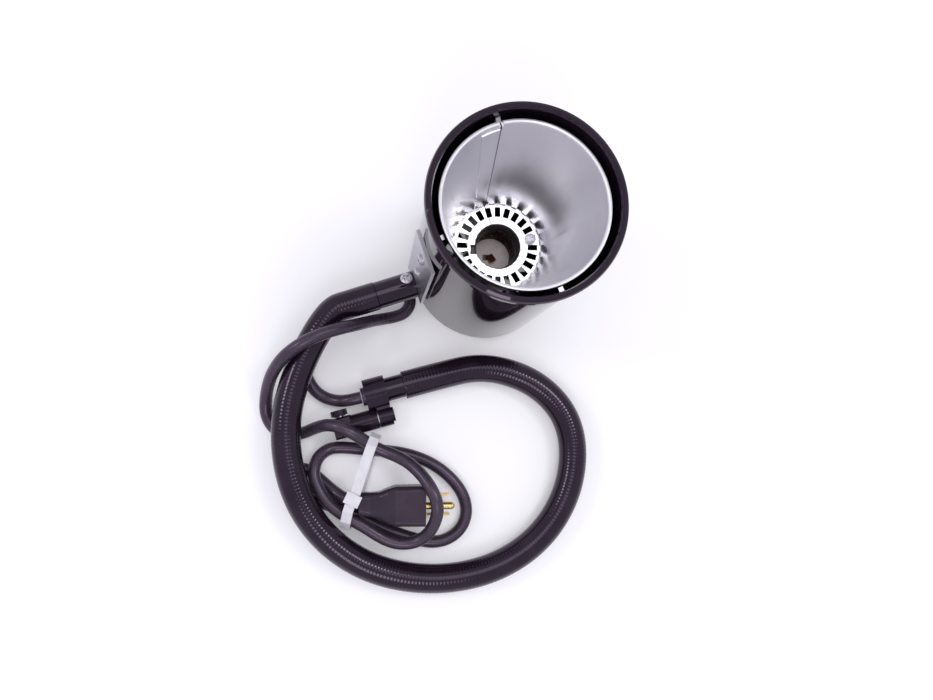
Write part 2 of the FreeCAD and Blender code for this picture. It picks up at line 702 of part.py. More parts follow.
def make_swivel(swivel):
    lobe = size("lobe_start")
    lobe_length = size("lobe_length")
    washer_gauge = 0.6
    pin_reach = 12.0
    shank = cylinder("swivel_shank", "@pin_radius", str(lobe_length + pin_reach), BASE,
                     swivel + Vector(lobe - pin_reach, 0, 0), ALONG_X)
    head = cylinder("swivel_head", "5.0", "1.6", BASE, swivel + Vector(lobe + lobe_length, 0, 0), ALONG_X)
    slot = box("swivel_slot", ("2", "11", "1.2"), BASE,
               swivel + Vector(lobe + lobe_length + 0.8, -5.5, -0.6))
    node("swivel_pin", cut("swivel_pin", fuse("swivel_pin_blank", [shank, head]), [slot]))
    disc = cylinder("swivel_disc", "@barrel_radius - 0.4", str(washer_gauge), BASE,
                    swivel + Vector(lobe - washer_gauge - 0.02, 0, 0), ALONG_X)
    way = cylinder("swivel_disc_way", "@pin_radius + @pin_clearance", "40", BASE,
                   swivel + Vector(-10, 0, 0), ALONG_X)
    node("swivel_washer", cut("swivel_washer", disc, [way]))
    face = lobe - washer_gauge - 0.04
    barrel_start = face - size("barrel_length")
    blank = cylinder("barrel_blank", "@barrel_radius", "@barrel_length", BASE,
                     swivel + Vector(barrel_start, 0, 0), ALONG_X)
    flange = cylinder("barrel_flange", "@barrel_radius + 0.5", "1.2", BASE,
                      swivel + Vector(barrel_start, 0, 0), ALONG_X)
    hole = cylinder("barrel_way", "@pin_radius + @pin_clearance", str(pin_reach + 1.0), BASE,
                    swivel + Vector(face - pin_reach - 0.6, 0, 0), ALONG_X)
    node("swivel_barrel", cut("swivel_barrel", fuse("barrel_with_flange", [blank, flange]), [hole]))
    make_clamp(swivel, barrel_start)


def make_clamp(swivel, right_face):
    width = size("clamp_width")
    near = -9.6
    depth = size("clamp_depth")
    corner = Vector(right_face - width, near - size("clamp_length"), swivel.z - depth / 2)
    blank = box("clamp_box", ("@clamp_width", "@clamp_length", "@clamp_depth"), BASE, corner)
    soft = DOC.addObject("Part::Chamfer", "clamp_softened")
    DOC.recompute()
    soft.Base = blank
    soft.Edges = [(index, 1.2, 1.2) for index in along_edges(blank.Shape, BASE.Rotation.multVec(ALONG_X))]
    middle = right_face - width / 2
    post_y = -17.3
    post = cylinder("clamp_post_way", "@post_radius", "30", BASE, Vector(middle, post_y, swivel.z - 15))
    screw = cylinder("clamp_screw_way", "@screw_radius + 0.06", "12", BASE,
                     Vector(middle, post_y, swivel.z), ALONG_Y)
    node("clamp_block", cut("clamp_block", soft, [post, screw]))
    make_thumbscrew(Vector(middle, post_y, swivel.z), near)


def along_edges(shape, direction):
    picked = []
    for index, edge in enumerate(shape.Edges, start=1):
        if abs(edge.tangentAt(edge.FirstParameter).dot(direction)) > 0.99:
            picked.append(index)
    return picked


def make_thumbscrew(post, near):
    """A knurled screw: the shank slides in the clamp and the head turns on it."""
    tip = post.y + size("post_radius") + 0.2
    knob_start = near + 0.6
    collar_length = 0.5
    shank_length = knob_start - tip + 2.0
    shank = cylinder("thumbscrew_shank", "@screw_radius", str(shank_length), BASE,
                     Vector(post.x, tip, post.z), ALONG_Y)
    node("thumbscrew_shank", shank)
    radius = size("knob_radius")
    teeth = int(size("knob_teeth"))
    knob = Part.makeCylinder(radius, size("knob_length") - collar_length, Vector(0, 0, collar_length))
    for tooth in range(teeth):
        angle = 2 * math.pi * tooth / teeth
        groove = Part.makeCylinder(0.42, 6, Vector(radius * math.cos(angle), radius * math.sin(angle), 0))
        knob = knob.cut(groove)
    knob = knob.fuse(Part.makeCylinder(4.0, collar_length)).removeSplitter()
    knob = knob.cut(Part.makeCylinder(size("screw_radius") + 0.05, 2.05))
    feature = shaped("thumbscrew_head", knob)
    place(feature, BASE, Vector(post.x, knob_start, post.z), ALONG_Y)
    node("thumbscrew_head", feature)


# Supply cord: one lead, two tied loops, a cable tie and a moulded plug

LEAD_ROUTE = [
    (-83.6, -92.1, 10.8), (-91.0, -94.1, 10.8), (-98.5, -94.6, 6.6), (-106.5, -93, 4.4), (-114, -88.5, 4.3),
    (-119.5, -80.5, 4.3), (-123, -70, 4.3), (-123.5, -57.5, 4.3), (-118.5, -45, 4.3), (-108.5, -34, 4.3),
    (-95.5, -25, 4.3), (-81.5, -19, 4.3), (-69, -15.6, 4.3), (-59.5, -14.9, 4.3), (-52.6, -18.9, 4.3),
    (-50.6, -26.6, 4.3), (-54.6, -33.6, 4.3), (-62, -36.6, 5.4), (-69.5, -38.6, 9.4), (-77.5, -41.4, 18),
    (-85.8, -45.4, 28.5),
    (-94.3, -48.6, 36.5), (-104.5, -52, 39.5), (-115, -56.5, 40.5), (-125.5, -62.5, 38.5), (-134.8, -70, 32),
    (-142.2, -80, 20), (-146, -91.5, 9), (-146.5, -103.5, 4.4), (-141, -113, 4.3), (-131.5, -117.5, 4.3),
    (-121.5, -116, 5.2), (-113.4, -112.4, 12), (-106, -110.4, 20), (-97.8, -111.4, 25.2), (-89, -115.4, 25.2),
    (-80.5, -121, 21.0),
]
HANK_ROUTE = [
    (-80.5, -121, 21.0), (-72.4, -126.2, 19.3), (-62, -129.8, 19), (-51.5, -135.2, 21.5), (-42.6, -143.8, 26.5),
    (-36.4, -153.4, 30.5), (-33.2, -163.8, 30.5), (-35, -174.4, 23.5), (-40, -183, 17), (-49, -187.8, 13.8),
    (-60, -187.6, 13.6), (-70, -183.2, 14), (-79.4, -176.8, 14.8), (-89, -171.4, 15), (-98.4, -165.6, 15),
    (-106, -158.6, 14.2), (-111.2, -150.4, 13.8), (-114, -141.2, 13.8), (-111.6, -131.6, 10.2),
    (-104, -125.6, 5.9), (-93.8, -125.4, 5.8), (-82.6, -126.6, 5.8), (-71.4, -127.4, 6), (-60, -128.4, 5.4),
    (-49, -130.8, 4.4), (-38, -135, 4.3), (-28, -141.2, 4.3), (-19.4, -149.4, 4.3), (-13.4, -158.8, 4.3),
    (-11.4, -169.4, 4.3), (-15, -179.6, 4.3), (-23.6, -186.6, 4.3), (-34.2, -188.8, 4.3), (-45, -186.8, 4.3),
    (-56.4, -183.2, 4.3), (-67.6, -178.8, 4.6), (-78, -173.4, 5.6), (-87.6, -168.2, 5.9), (-97.2, -165.2, 5.0),
    (-106.8, -162.2, 4.3), (-116.4, -160.6, 4.3), (-127.9, -156.8, 4.3), (-131.6, -150.8, 4.3),
    (-130.4, -143.9, 4.3), (-125.0, -139.4, 4.3), (-118.0, -139.5, 4.3), (-107.8, -148.4, 4.4), (-99.8, -155.0, 7.2),
    (-92, -159.2, 11.8), (-83.6, -161.6, 16.4),
]


def make_cord():
    radius = size("cord_diameter") / 2
    for name, points in (("power_cord", LEAD_ROUTE), ("cord_hank", HANK_ROUTE)):
        pieces, radii = route_pieces(points)
        report_route(name, pieces, radii, 2 * radius)
        node(name, shaped(name, tube(pieces, radius)))


PLUG_SECTIONS = [
    (-84.0, -161.6, 16.4, 15.0, 12.5, 4.2), (-76.5, -162.0, 16.0, 15.6, 13.6, 3.8),
    (-71.0, -162.4, 15.6, 17.0, 16.0, 3.4), (-65.5, -162.8, 14.8, 22.0, 21.0, 3.6),
    (-60.5, -163.0, 14.2, 25.6, 24.0, 3.6), (-40.8, -163.0, 13.2, 26.0, 25.4, 3.0),
]
BLADE_SPACING = 12.7
GROUND_OFFSET = 11.9
BLADE_LEVEL = 8.0


def rounded_section(x, y, z, width, height, corner):
    """A rounded rectangle square to X: width runs along Y and height along Z."""
    half_w = width / 2
    half_h = height / 2
    edges = []
    diagonal = corner * (1 - math.sqrt(0.5))
    for side_y, side_z in ((1, 1), (-1, 1), (-1, -1), (1, -1)):
        upright = Vector(x, y + side_y * half_w, z + side_z * (half_h - corner))
        level = Vector(x, y + side_y * (half_w - corner), z + side_z * half_h)
        middle = Vector(x, y + side_y * (half_w - diagonal), z + side_z * (half_h - diagonal))
        ends = (upright, level) if side_y * side_z > 0 else (level, upright)
        edges.append((ends[0], middle, ends[1]))
    outline = []
    for i, (first, middle, last) in enumerate(edges):
        outline.append(Part.Arc(first, middle, last).toShape())
        following = edges[(i + 1) % len(edges)][0]
        outline.append(Part.LineSegment(last, following).toShape())
    return Part.Wire(outline)


def make_plug():
    sections = [rounded_section(*section) for section in PLUG_SECTIONS]
    moulding = Part.makeLoft(sections, True, True)
    face_x, middle_y = PLUG_SECTIONS[-1][:2]
    blades = []
    sockets = []
    for side in (-1, 1):
        y = middle_y + side * BLADE_SPACING / 2
        blade = Part.makeBox(22.5, 1.5, 6.3, Vector(face_x - 6, y - 0.75, BLADE_LEVEL - 3.15))
        sockets.append(blade)
        blades.append(shaped("plug_blade", blade))
    level = BLADE_LEVEL + GROUND_OFFSET
    pin = Part.makeCylinder(2.38, 22.8, Vector(face_x - 6, middle_y, level), ALONG_X)
    tip = Part.makeSphere(2.38, Vector(face_x + 16.8, middle_y, level))
    pin = pin.fuse(tip).removeSplitter()
    moulding = moulding.cut(sockets[0].fuse([sockets[1], pin]))
    node("plug_body", shaped("plug_body", moulding))
    node("plug_blades", group("plug_blades", blades))
    node("plug_ground_pin", shaped("plug_ground_pin", pin))


TIE_ROUTE = [
    (-86.2, -154.6, 25.8), (-83.2, -145.0, 26.0), (-79.4, -133.0, 26.2), (-76.4, -124.0, 26.0),
    (-74.4, -119.2, 23.6), (-73.4, -117.2, 18.0), (-73.0, -116.8, 8.0), (-73.8, -119.0, 1.2),
    (-77.0, -130.0, 0.8), (-81.2, -146.0, 0.8), (-86.0, -162.0, 0.8), (-90.4, -173.4, 1.0),
    (-92.0, -177.0, 6.0), (-92.8, -177.0, 14.0), (-92.2, -172.8, 20.4), (-90.8, -166.0, 24.6),
    (-89.4, -161.4, 25.8),
]
TIE_WIDTH = 6.6
TIE_GAUGE = 1.2
TIE_ACROSS = (0.93, -0.36, 0)


def make_cable_tie():
    """A nylon strap round both bundles, made of flat sections, with its locking head."""
    points = [Vector(*point) for point in TIE_ROUTE]
    across = Vector(*TIE_ACROSS).normalize()
    sections = []
    for i, point in enumerate(points):
        before = points[max(i - 1, 0)]
        after = points[min(i + 1, len(points) - 1)]
        along = (after - before).normalize()
        wide = (across - along * across.dot(along)).normalize() * (TIE_WIDTH / 2)
        thick = along.cross(wide).normalize() * (TIE_GAUGE / 2)
        ring = [point + wide + thick, point - wide + thick, point - wide - thick, point + wide - thick]
        sections.append(Part.makePolygon(ring + [ring[0]]))
    node("cable_tie_strap", shaped("cable_tie_strap", Part.makeLoft(sections, True, True)))
    first = points[0]
    last = points[-1]
    run = first - last
    turn = math.degrees(math.atan2(run.y, run.x))
    head = Part.makeBox(run.Length, 10.0, 4.8, Vector(0, -5.0, -2.4))
    feature = shaped("cable_tie_head", head)
    feature.Placement = Placement(last, Rotation(UP, turn))
    node("cable_tie_head", feature)


def main():
    make_shade()
    make_reflector()
    make_clips()
    make_vent_ring()
    make_socket()
    make_socket_bracket()
    make_arm_bracket()
    make_ferrule()
    make_nipple()
    make_leads()
    make_gooseneck()
    make_neck_link()
    make_base()
    make_cord()
    make_plug()
    make_cable_tie()
    DOC.recompute()
    faults = [feature.Label for feature in DOC.Objects if "Invalid" in feature.State or "Error" in feature.State]
    for name, feature in NODES.items():
        if feature.Shape.isNull() or not feature.Shape.isValid():
            faults.append(name)
    if faults:
        raise RuntimeError("failed features: " + ", ".join(faults))
    os.makedirs("parts", exist_ok=True)
    for name, feature in NODES.items():
        feature.Shape.exportStep(os.path.join("parts", name + ".step"))
    print(len(NODES), "nodes written")


main()
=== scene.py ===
import json
import math

import bpy
from mathutils import Matrix, Vector


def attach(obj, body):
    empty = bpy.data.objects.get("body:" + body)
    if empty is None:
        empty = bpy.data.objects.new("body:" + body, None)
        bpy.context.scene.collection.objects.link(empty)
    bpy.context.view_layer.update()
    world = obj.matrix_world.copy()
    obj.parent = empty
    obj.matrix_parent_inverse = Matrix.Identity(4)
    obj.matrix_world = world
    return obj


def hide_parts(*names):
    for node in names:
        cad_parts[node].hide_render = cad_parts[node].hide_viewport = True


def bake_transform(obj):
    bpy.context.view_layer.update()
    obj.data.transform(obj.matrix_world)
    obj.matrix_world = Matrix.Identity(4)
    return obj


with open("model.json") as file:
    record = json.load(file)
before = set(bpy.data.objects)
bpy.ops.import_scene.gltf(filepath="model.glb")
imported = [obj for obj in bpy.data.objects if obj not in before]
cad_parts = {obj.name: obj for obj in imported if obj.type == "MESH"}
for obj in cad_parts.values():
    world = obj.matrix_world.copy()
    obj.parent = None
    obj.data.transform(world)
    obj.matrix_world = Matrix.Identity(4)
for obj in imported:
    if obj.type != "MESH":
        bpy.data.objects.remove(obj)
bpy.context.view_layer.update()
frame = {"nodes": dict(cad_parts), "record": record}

NODES = frame["nodes"]
MM = 0.001
CORD_DIAMETER = 8.2 * MM

LEAD_ROUTE = [
    (-83.6, -92.1, 10.8), (-91.0, -94.1, 10.8), (-98.5, -94.6, 6.6), (-106.5, -93, 4.4), (-114, -88.5, 4.3),
    (-119.5, -80.5, 4.3), (-123, -70, 4.3), (-123.5, -57.5, 4.3), (-118.5, -45, 4.3), (-108.5, -34, 4.3),
    (-95.5, -25, 4.3), (-81.5, -19, 4.3), (-69, -15.6, 4.3), (-59.5, -14.9, 4.3), (-52.6, -18.9, 4.3),
    (-50.6, -26.6, 4.3), (-54.6, -33.6, 4.3), (-62, -36.6, 5.4), (-69.5, -38.6, 9.4), (-77.5, -41.4, 18),
    (-85.8, -45.4, 28.5),
    (-94.3, -48.6, 36.5), (-104.5, -52, 39.5), (-115, -56.5, 40.5), (-125.5, -62.5, 38.5), (-134.8, -70, 32),
    (-142.2, -80, 20), (-146, -91.5, 9), (-146.5, -103.5, 4.4), (-141, -113, 4.3), (-131.5, -117.5, 4.3),
    (-121.5, -116, 5.2), (-113.4, -112.4, 12), (-106, -110.4, 20), (-97.8, -111.4, 25.2), (-89, -115.4, 25.2),
    (-80.5, -121, 21.0),
]
HANK_ROUTE = [
    (-80.5, -121, 21.0), (-72.4, -126.2, 19.3), (-62, -129.8, 19), (-51.5, -135.2, 21.5), (-42.6, -143.8, 26.5),
    (-36.4, -153.4, 30.5), (-33.2, -163.8, 30.5), (-35, -174.4, 23.5), (-40, -183, 17), (-49, -187.8, 13.8),
    (-60, -187.6, 13.6), (-70, -183.2, 14), (-79.4, -176.8, 14.8), (-89, -171.4, 15), (-98.4, -165.6, 15),
    (-106, -158.6, 14.2), (-111.2, -150.4, 13.8), (-114, -141.2, 13.8), (-111.6, -131.6, 10.2),
    (-104, -125.6, 5.9), (-93.8, -125.4, 5.8), (-82.6, -126.6, 5.8), (-71.4, -127.4, 6), (-60, -128.4, 5.4),
    (-49, -130.8, 4.4), (-38, -135, 4.3), (-28, -141.2, 4.3), (-19.4, -149.4, 4.3), (-13.4, -158.8, 4.3),
    (-11.4, -169.4, 4.3), (-15, -179.6, 4.3), (-23.6, -186.6, 4.3), (-34.2, -188.8, 4.3), (-45, -186.8, 4.3),
    (-56.4, -183.2, 4.3), (-67.6, -178.8, 4.6), (-78, -173.4, 5.6), (-87.6, -168.2, 5.9), (-97.2, -165.2, 5.0),
    (-106.8, -162.2, 4.3), (-116.4, -160.6, 4.3), (-127.9, -156.8, 4.3), (-131.6, -150.8, 4.3),
    (-130.4, -143.9, 4.3), (-125.0, -139.4, 4.3), (-118.0, -139.5, 4.3), (-107.8, -148.4, 4.4), (-99.8, -155.0, 7.2),
    (-92, -159.2, 11.8), (-83.6, -161.6, 16.4),
]
ARM_TURN = math.radians(199.0)
ARM_LEVEL = 25.0
FERRULE_END = 78.8
PIVOT_NEAR = 83.55
PIVOT_FAR = 92.55
NECK_ROUTE = [
    (-55.2, -83.7, 10.8), (-37, -78.6, 10.8), (-2, -69.5, 9.9), (32, -78.5, 9.8), (55, -99, 9.8),
    (63, -126, 9.8), (57, -159, 9.8), (37, -188, 9.8), (5, -207, 9.8), (-35, -213, 9.8),
    (-75, -205, 11.5), (-106, -184, 15.5), (-126, -153, 19.2), (-133, -113, 20.5), (-125, -74, 21.5),
]


# Materials

def node_material(name):
    material = bpy.data.materials.new(name)
    material.use_nodes = True
    tree = material.node_tree
    return material, tree, tree.nodes["Principled BSDF"]


def coordinates(tree, scale=(1.0, 1.0, 1.0)):
    source = tree.nodes.new("ShaderNodeTexCoord")
    mapping = tree.nodes.new("ShaderNodeMapping")
    mapping.inputs["Scale"].default_value = scale
    tree.links.new(source.outputs["Object"], mapping.inputs["Vector"])
    return mapping.outputs["Vector"]


def noise(tree, vector, scale, detail=3.0, rough=0.5):
    node = tree.nodes.new("ShaderNodeTexNoise")
    node.inputs["Scale"].default_value = scale
    node.inputs["Detail"].default_value = detail
    node.inputs["Roughness"].default_value = rough
    tree.links.new(vector, node.inputs["Vector"])
    return node.outputs["Fac"]


def spread(tree, value, low, high, start=0.3, end=0.7):
    """Map a texture's value onto a range of numbers."""
    node = tree.nodes.new("ShaderNodeMapRange")
    node.inputs["From Min"].default_value = start
    node.inputs["From Max"].default_value = end
    node.inputs["To Min"].default_value = low
    node.inputs["To Max"].default_value = high
    tree.links.new(value, node.inputs["Value"])
    return node.outputs["Result"]


def tint(tree, value, dark, light, start=0.35, end=0.65):
    node = tree.nodes.new("ShaderNodeValToRGB")
    node.color_ramp.elements[0].position = start
    node.color_ramp.elements[0].color = (*dark, 1.0)
    node.color_ramp.elements[1].position = end
    node.color_ramp.elements[1].color = (*light, 1.0)
    tree.links.new(value, node.inputs["Fac"])
    return node.outputs["Color"]


def bump(tree, height, depth, below=None, strength=1.0):
    node = tree.nodes.new("ShaderNodeBump")
    node.inputs["Strength"].default_value = strength
    node.inputs["Distance"].default_value = depth
    tree.links.new(height, node.inputs["Height"])
    if below is not None:
        tree.links.new(below, node.inputs["Normal"])
    return node.outputs["Normal"]


def surface(name, dark, light, roughness, metallic=0.0, grain=400.0, patch=35.0, depth=0.00004,
            stretch=(1.0, 1.0, 1.0), coat=0.0, specular=0.5, shine=(1.0, 1.0, 1.0)):
    """A material with patchy colour, uneven gloss and a fine grain in relief."""
    material, tree, shader = node_material(name)
    vector = coordinates(tree, stretch)
    patches = noise(tree, vector, patch, 4.0, 0.6)
    fine = noise(tree, vector, grain, 3.0, 0.55)
    tree.links.new(tint(tree, patches, dark, light), shader.inputs["Base Color"])
    gloss = spread(tree, fine, roughness[0], roughness[1])
    tree.links.new(gloss, shader.inputs["Roughness"])
    tree.links.new(bump(tree, fine, depth), shader.inputs["Normal"])
    shader.inputs["Metallic"].default_value = metallic
    shader.inputs["Coat Weight"].default_value = coat
    shader.inputs["Coat Roughness"].default_value = 0.04
    shader.inputs["Specular IOR Level"].default_value = specular
    shader.inputs["Specular Tint"].default_value = (*shine, 1.0)
    return material


BLACK_SHINE = (0.92, 0.74, 1.0)
REFLECTOR_FLUTES = 24.0
REFLECTOR_SEAM = math.radians(107.0)


def sum_node(tree, operation, first, second=None):
    node = tree.nodes.new("ShaderNodeMath")
    node.operation = operation
    for socket, value in zip(node.inputs, (first, second)):
        if value is None:
            continue
        if isinstance(value, float):
            socket.default_value = value
        else:
            tree.links.new(value, socket)
    return node.outputs[0]


def sine(tree, value, count):
    return sum_node(tree, "SINE", sum_node(tree, "MULTIPLY", value, count))


def mixed(tree, amount, low, high):
    """A fixed colour that gives way to another as the amount rises."""
    mix = tree.nodes.new("ShaderNodeMix")
    mix.data_type = "RGBA"
    mix.inputs["A"].default_value = (*low, 1.0)
    tree.links.new(amount, mix.inputs["Factor"])
    tree.links.new(high, mix.inputs["B"])
    return mix.outputs["Result"]


def reflector_metal():
    """Spun aluminium: turning marks round the axis, shallow flutes low down, and the dark line of the seam."""
    material, tree, shader = node_material("Satin aluminium")
    source = tree.nodes.new("ShaderNodeTexCoord")
    parts = tree.nodes.new("ShaderNodeSeparateXYZ")
    tree.links.new(source.outputs["Object"], parts.inputs["Vector"])
    height = parts.outputs["Z"]
    angle = tree.nodes.new("ShaderNodeMath")
    angle.operation = "ARCTAN2"
    tree.links.new(parts.outputs["Y"], angle.inputs[0])
    tree.links.new(parts.outputs["X"], angle.inputs[1])
    wrapped = tree.nodes.new("ShaderNodeCombineXYZ")
    tree.links.new(angle.outputs[0], wrapped.inputs["X"])
    tree.links.new(height, wrapped.inputs["Y"])
    rings = tree.nodes.new("ShaderNodeMapping")
    rings.inputs["Scale"].default_value = (0.6, 900.0, 1.0)
    tree.links.new(wrapped.outputs["Vector"], rings.inputs["Vector"])
    turning = noise(tree, rings.outputs["Vector"], 1.0, 2.0)
    fade = spread(tree, height, 1.0, 0.0, 0.066, 0.110)
    flutes = sum_node(tree, "MULTIPLY", sine(tree, angle.outputs[0], REFLECTOR_FLUTES), fade)
    dents = bump(tree, flutes, 0.00008)
    tree.links.new(bump(tree, turning, 0.000010, dents), shader.inputs["Normal"])
    cloud = noise(tree, source.outputs["Object"], 30.0, 4.0)
    metal = tint(tree, cloud, (0.94, 0.93, 0.97), (0.97, 0.96, 0.99))
    off_seam = sum_node(tree, "ABSOLUTE", sum_node(tree, "SUBTRACT", angle.outputs[0], REFLECTOR_SEAM))
    line = spread(tree, off_seam, 0.0, 1.0, 0.006, 0.014)
    metal = mixed(tree, line, (0.05, 0.045, 0.055), metal)
    tree.links.new(metal, shader.inputs["Base Color"])
    tree.links.new(spread(tree, height, 0.25, 0.36, 0.064, 0.12), shader.inputs["Roughness"])
    shader.inputs["Metallic"].default_value = 1.0
    return material


def nylon():
    material, tree, shader = node_material("Clear nylon")
    vector = coordinates(tree)
    cloud = noise(tree, vector, 180.0, 3.0)
    tree.links.new(tint(tree, cloud, (0.66, 0.65, 0.69), (0.74, 0.73, 0.77)), shader.inputs["Base Color"])
    tree.links.new(spread(tree, cloud, 0.28, 0.40), shader.inputs["Roughness"])
    teeth = tree.nodes.new("ShaderNodeTexWave")
    teeth.bands_direction = "Y"
    teeth.inputs["Scale"].default_value = 260.0
    tree.links.new(vector, teeth.inputs["Vector"])
    tree.links.new(bump(tree, teeth.outputs["Fac"], 0.00003), shader.inputs["Normal"])
    shader.inputs["Subsurface Weight"].default_value = 0.30
    shader.inputs["Subsurface Radius"].default_value = (0.003, 0.003, 0.003)
    return material


MATERIALS = {
    "black_enamel": surface("Black enamel", (0.006, 0.003, 0.007), (0.010, 0.006, 0.011), (0.03, 0.06), patch=20.0,
                            grain=900.0, depth=0.000002, coat=0.15, specular=0.40, shine=BLACK_SHINE),
    "satin_aluminium": reflector_metal(),
    "zinc_plate": surface("Zinc plate", (0.50, 0.49, 0.53), (0.55, 0.54, 0.58), (0.30, 0.36), metallic=1.0,
                          grain=900.0, patch=60.0, depth=0.000004),
    "black_phenolic": surface("Black phenolic", (0.014, 0.010, 0.013), (0.024, 0.019, 0.023), (0.25, 0.40)),
    "aged_brass": surface("Aged brass", (0.035, 0.025, 0.024), (0.10, 0.075, 0.065), (0.20, 0.35), metallic=1.0),
    "fibre_board": surface("Fibre board", (0.86, 0.75, 0.73), (0.95, 0.87, 0.85), (0.50, 0.70), patch=300.0),
    "copper_tongue": surface("Copper tongue", (0.62, 0.26, 0.11), (0.85, 0.45, 0.24), (0.25, 0.40), metallic=1.0),
    "lead_sleeving": surface("Lead sleeving", (0.60, 0.58, 0.52), (0.75, 0.72, 0.66), (0.50, 0.70)),
    "black_vinyl": surface("Black vinyl", (0.009, 0.004, 0.010), (0.015, 0.009, 0.016), (0.10, 0.18), patch=60.0,
                           grain=500.0, depth=0.000015, coat=0.12, specular=0.36, shine=BLACK_SHINE),
    "hose_steel": surface("Hose steel", (0.28, 0.28, 0.31), (0.45, 0.45, 0.48), (0.28, 0.45), metallic=1.0),
    "cord_rubber": surface("Cord rubber", (0.030, 0.022, 0.034), (0.046, 0.035, 0.051), (0.25, 0.33), patch=80.0,
                           grain=700.0, depth=0.00001, specular=0.6, shine=BLACK_SHINE),
    "black_moulding": surface("Black moulding", (0.009, 0.005, 0.010), (0.015, 0.009, 0.016), (0.14, 0.26),
                              depth=0.000010, specular=0.32, shine=BLACK_SHINE),
    "plug_vinyl": surface("Plug vinyl", (0.020, 0.013, 0.021), (0.032, 0.023, 0.034), (0.26, 0.36), grain=500.0,
                          depth=0.000006, specular=0.36, shine=BLACK_SHINE),
    "plug_brass": surface("Plug brass", (0.50, 0.34, 0.12), (0.72, 0.54, 0.24), (0.22, 0.34), metallic=1.0,
                          grain=900.0, patch=120.0, depth=0.000005),
    "clear_nylon": nylon(),
}


def dress_cad_nodes():
    slots = {row["node"]: row["material_slot"] for row in frame["record"]["subparts"]}
    for name, obj in NODES.items():
        obj.data.materials.clear()
        obj.data.materials.append(MATERIALS[slots[name]])


# Cord

def spline_curve(name, points, radius):
    curve = bpy.data.curves.new(name, "CURVE")
    curve.dimensions = "3D"
    curve.bevel_depth = radius
    curve.bevel_resolution = 8
    curve.resolution_u = 12
    curve.use_fill_caps = True
    spline = curve.splines.new("NURBS")
    spline.points.add(len(points) - 1)
    for point, place in zip(spline.points, points):
        point.co = (*[value * MM for value in place], 1.0)
    spline.order_u = 3
    spline.use_endpoint_u = True
    obj = bpy.data.objects.new(name, curve)
    bpy.context.scene.collection.objects.link(obj)
    return obj


def make_cord():
    points = LEAD_ROUTE + HANK_ROUTE[1:]
    obj = spline_curve("supply_cord", points, CORD_DIAMETER / 2)
    obj.data.materials.append(MATERIALS["cord_rubber"])
    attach(obj, "base_and_arm")
    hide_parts("power_cord", "cord_hank")
    return obj


# Gooseneck sleeve

def arm_point(distance):
    return (distance * math.cos(ARM_TURN), distance * math.sin(ARM_TURN), ARM_LEVEL)


def line_points(points):
    """Points along the smooth curve that has these control points."""
    obj = spline_curve("line", points, 0.0)
    bpy.context.view_layer.update()
    mesh = bpy.data.meshes.new_from_object(obj)
    line = [vertex.co.copy() for vertex in mesh.vertices]
    bpy.data.objects.remove(obj)
    bpy.data.meshes.remove(mesh)
    return line


def resample(line, step):
    """Points a step apart along a line."""
    out = [line[0]]
    left = step
    for start, end in zip(line, line[1:]):
        run = end - start
        length = run.length
        while length >= left and length > 0.0:
            start = start + run.normalized() * left
            out.append(start)
            run = end - start
            length = run.length
            left = step
        left -= length
    return out


SLEEVE_RADIUS = 9.5 * MM
RIDGE_PITCH = 2.3 * MM
RIDGE_DEPTH = 0.07 * MM
RINGS_A_RIDGE = 5
RING_STEP = RIDGE_PITCH / RINGS_A_RIDGE
RING_SIDES = 40


def ridged_tube(name, line, start, end):
    """A tube with fine shallow ridges along a line, between two distances from its start."""
    points = resample(line, RING_STEP)
    first = round(start / RING_STEP)
    last = min(round(end / RING_STEP), len(points) - 1)
    vertices = []
    faces = []
    side = Vector((0.0, 0.0, 1.0))
    for index in range(last + 1):
        ahead = points[min(index + 1, len(points) - 1)] - points[max(index - 1, 0)]
        ahead.normalize()
        side = (side - ahead * side.dot(ahead)).normalized()
        if index < first:
            continue
        across = ahead.cross(side)
        wave = 0.5 + 0.5 * math.cos(2 * math.pi * index / RINGS_A_RIDGE)
        radius = SLEEVE_RADIUS - RIDGE_DEPTH * wave
        for step in range(RING_SIDES):
            turn = 2 * math.pi * step / RING_SIDES
            vertices.append(points[index] + (side * math.cos(turn) + across * math.sin(turn)) * radius)
    for ring in range(last - first):
        for step in range(RING_SIDES):
            here = ring * RING_SIDES + step
            beside = ring * RING_SIDES + (step + 1) % RING_SIDES
            faces.append((here, beside, beside + RING_SIDES, here + RING_SIDES))
    mesh = bpy.data.meshes.new(name)
    mesh.from_pydata(vertices, [], faces)
    mesh.polygons.foreach_set("use_smooth", [True] * len(faces))
    mesh.materials.append(MATERIALS["black_vinyl"])
    obj = bpy.data.objects.new(name, mesh)
    bpy.context.scene.collection.objects.link(obj)
    return obj


def line_length(line):
    return sum((end - start).length for start, end in zip(line, line[1:]))


